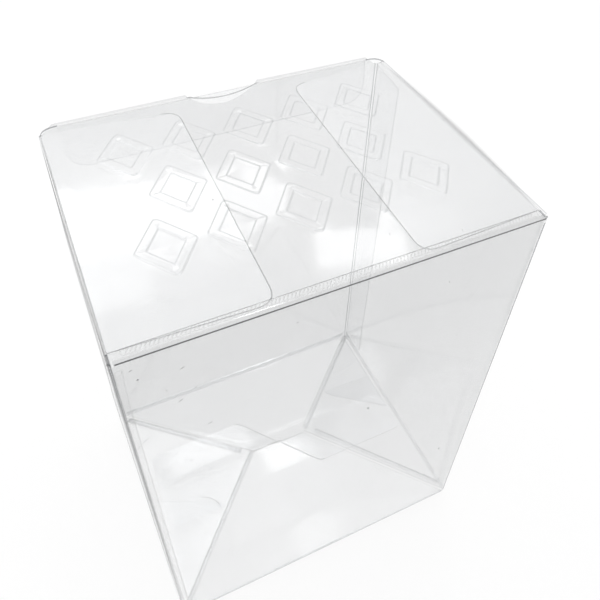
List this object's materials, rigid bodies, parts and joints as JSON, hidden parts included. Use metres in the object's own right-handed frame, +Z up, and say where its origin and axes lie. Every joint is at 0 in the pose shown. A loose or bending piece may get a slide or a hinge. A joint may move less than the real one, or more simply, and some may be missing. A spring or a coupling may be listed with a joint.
{
  "type": "clear figure box protector carton",
  "caption": "Clear folding carton that protects a boxed figure, with a tuck-in lid, dust flaps, a thumb notch and a self-locking raised bottom.",
  "frame": {"origin": "middle of the carton's base, on the plane that it rests on", "axes": "+Z up, +X to the right along the front, +Y from the front, where the lid is hinged, to the back"},
  "size_m": [0.116, 0.092, 0.161],
  "materials": {
    "clear_sheet": "clear glossy film sheet with soft-creased folds"
  },
  "bodies": {
    "body": {"body": "clear_sheet"},
    "lid": {"lid": "clear_sheet"}
  },
  "joints": [
    {"name": "lid_hinge", "type": "hinge", "parent": "body", "child": "lid", "pos_m": [0, -0.04575, 0.16075], "axis": [1, 0, 0], "range_deg": [0, 180]}
  ]
}
